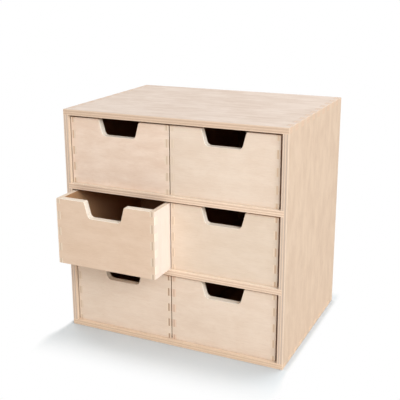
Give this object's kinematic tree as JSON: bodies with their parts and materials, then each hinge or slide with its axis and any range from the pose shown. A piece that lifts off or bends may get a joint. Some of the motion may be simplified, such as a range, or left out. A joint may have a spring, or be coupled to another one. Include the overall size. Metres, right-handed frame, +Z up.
{
  "type": "desktop drawer chest",
  "caption": "Birch plywood desktop chest of open-top drawers in rows and columns, with finger-jointed corners and slanted hand notches in the drawer fronts.",
  "frame": {"origin": "middle of the case's underside", "axes": "+X along the front from left to right, -Y towards the user, who opens the drawers that way, +Z up"},
  "size_m": [0.3, 0.26, 0.298],
  "materials": {
    "case_plywood": "sanded birch plywood, unfinished",
    "drawer_plywood": "sanded birch plywood, unfinished",
    "thin_plywood": "sanded thin birch plywood, unfinished"
  },
  "bodies": {
    "case": {"case_bottom": "case_plywood", "case_top": "case_plywood", "case_left_side": "case_plywood", "case_right_side": "case_plywood", "back_panel": "thin_plywood", "lower_shelf": "case_plywood", "upper_shelf": "case_plywood"},
    "bottom_left_drawer": {"bottom_left_drawer_front": "drawer_plywood", "bottom_left_drawer_back": "drawer_plywood", "bottom_left_drawer_left_side": "drawer_plywood", "bottom_left_drawer_right_side": "drawer_plywood", "bottom_left_drawer_bottom": "thin_plywood"},
    "bottom_right_drawer": {"bottom_right_drawer_front": "drawer_plywood", "bottom_right_drawer_back": "drawer_plywood", "bottom_right_drawer_left_side": "drawer_plywood", "bottom_right_drawer_right_side": "drawer_plywood", "bottom_right_drawer_bottom": "thin_plywood"},
    "middle_left_drawer": {"middle_left_drawer_front": "drawer_plywood", "middle_left_drawer_back": "drawer_plywood", "middle_left_drawer_left_side": "drawer_plywood", "middle_left_drawer_right_side": "drawer_plywood", "middle_left_drawer_bottom": "thin_plywood"},
    "middle_right_drawer": {"middle_right_drawer_front": "drawer_plywood", "middle_right_drawer_back": "drawer_plywood", "middle_right_drawer_left_side": "drawer_plywood", "middle_right_drawer_right_side": "drawer_plywood", "middle_right_drawer_bottom": "thin_plywood"},
    "top_left_drawer": {"top_left_drawer_front": "drawer_plywood", "top_left_drawer_back": "drawer_plywood", "top_left_drawer_left_side": "drawer_plywood", "top_left_drawer_right_side": "drawer_plywood", "top_left_drawer_bottom": "thin_plywood"},
    "top_right_drawer": {"top_right_drawer_front": "drawer_plywood", "top_right_drawer_back": "drawer_plywood", "top_right_drawer_left_side": "drawer_plywood", "top_right_drawer_right_side": "drawer_plywood", "top_right_drawer_bottom": "thin_plywood"}
  },
  "joints": [
    {"name": "bottom_left_drawer_slide", "type": "slide", "parent": "case", "child": "bottom_left_drawer", "axis": [0, -1, 0], "range_m": [0, 0.165]},
    {"name": "bottom_right_drawer_slide", "type": "slide", "parent": "case", "child": "bottom_right_drawer", "axis": [0, -1, 0], "range_m": [0, 0.165]},
    {"name": "middle_left_drawer_slide", "type": "slide", "parent": "case", "child": "middle_left_drawer", "axis": [0, -1, 0], "range_m": [-0.041, 0.124]},
    {"name": "middle_right_drawer_slide", "type": "slide", "parent": "case", "child": "middle_right_drawer", "axis": [0, -1, 0], "range_m": [0, 0.165]},
    {"name": "top_left_drawer_slide", "type": "slide", "parent": "case", "child": "top_left_drawer", "axis": [0, -1, 0], "range_m": [0, 0.165]},
    {"name": "top_right_drawer_slide", "type": "slide", "parent": "case", "child": "top_right_drawer", "axis": [0, -1, 0], "range_m": [0, 0.165]}
  ]
}
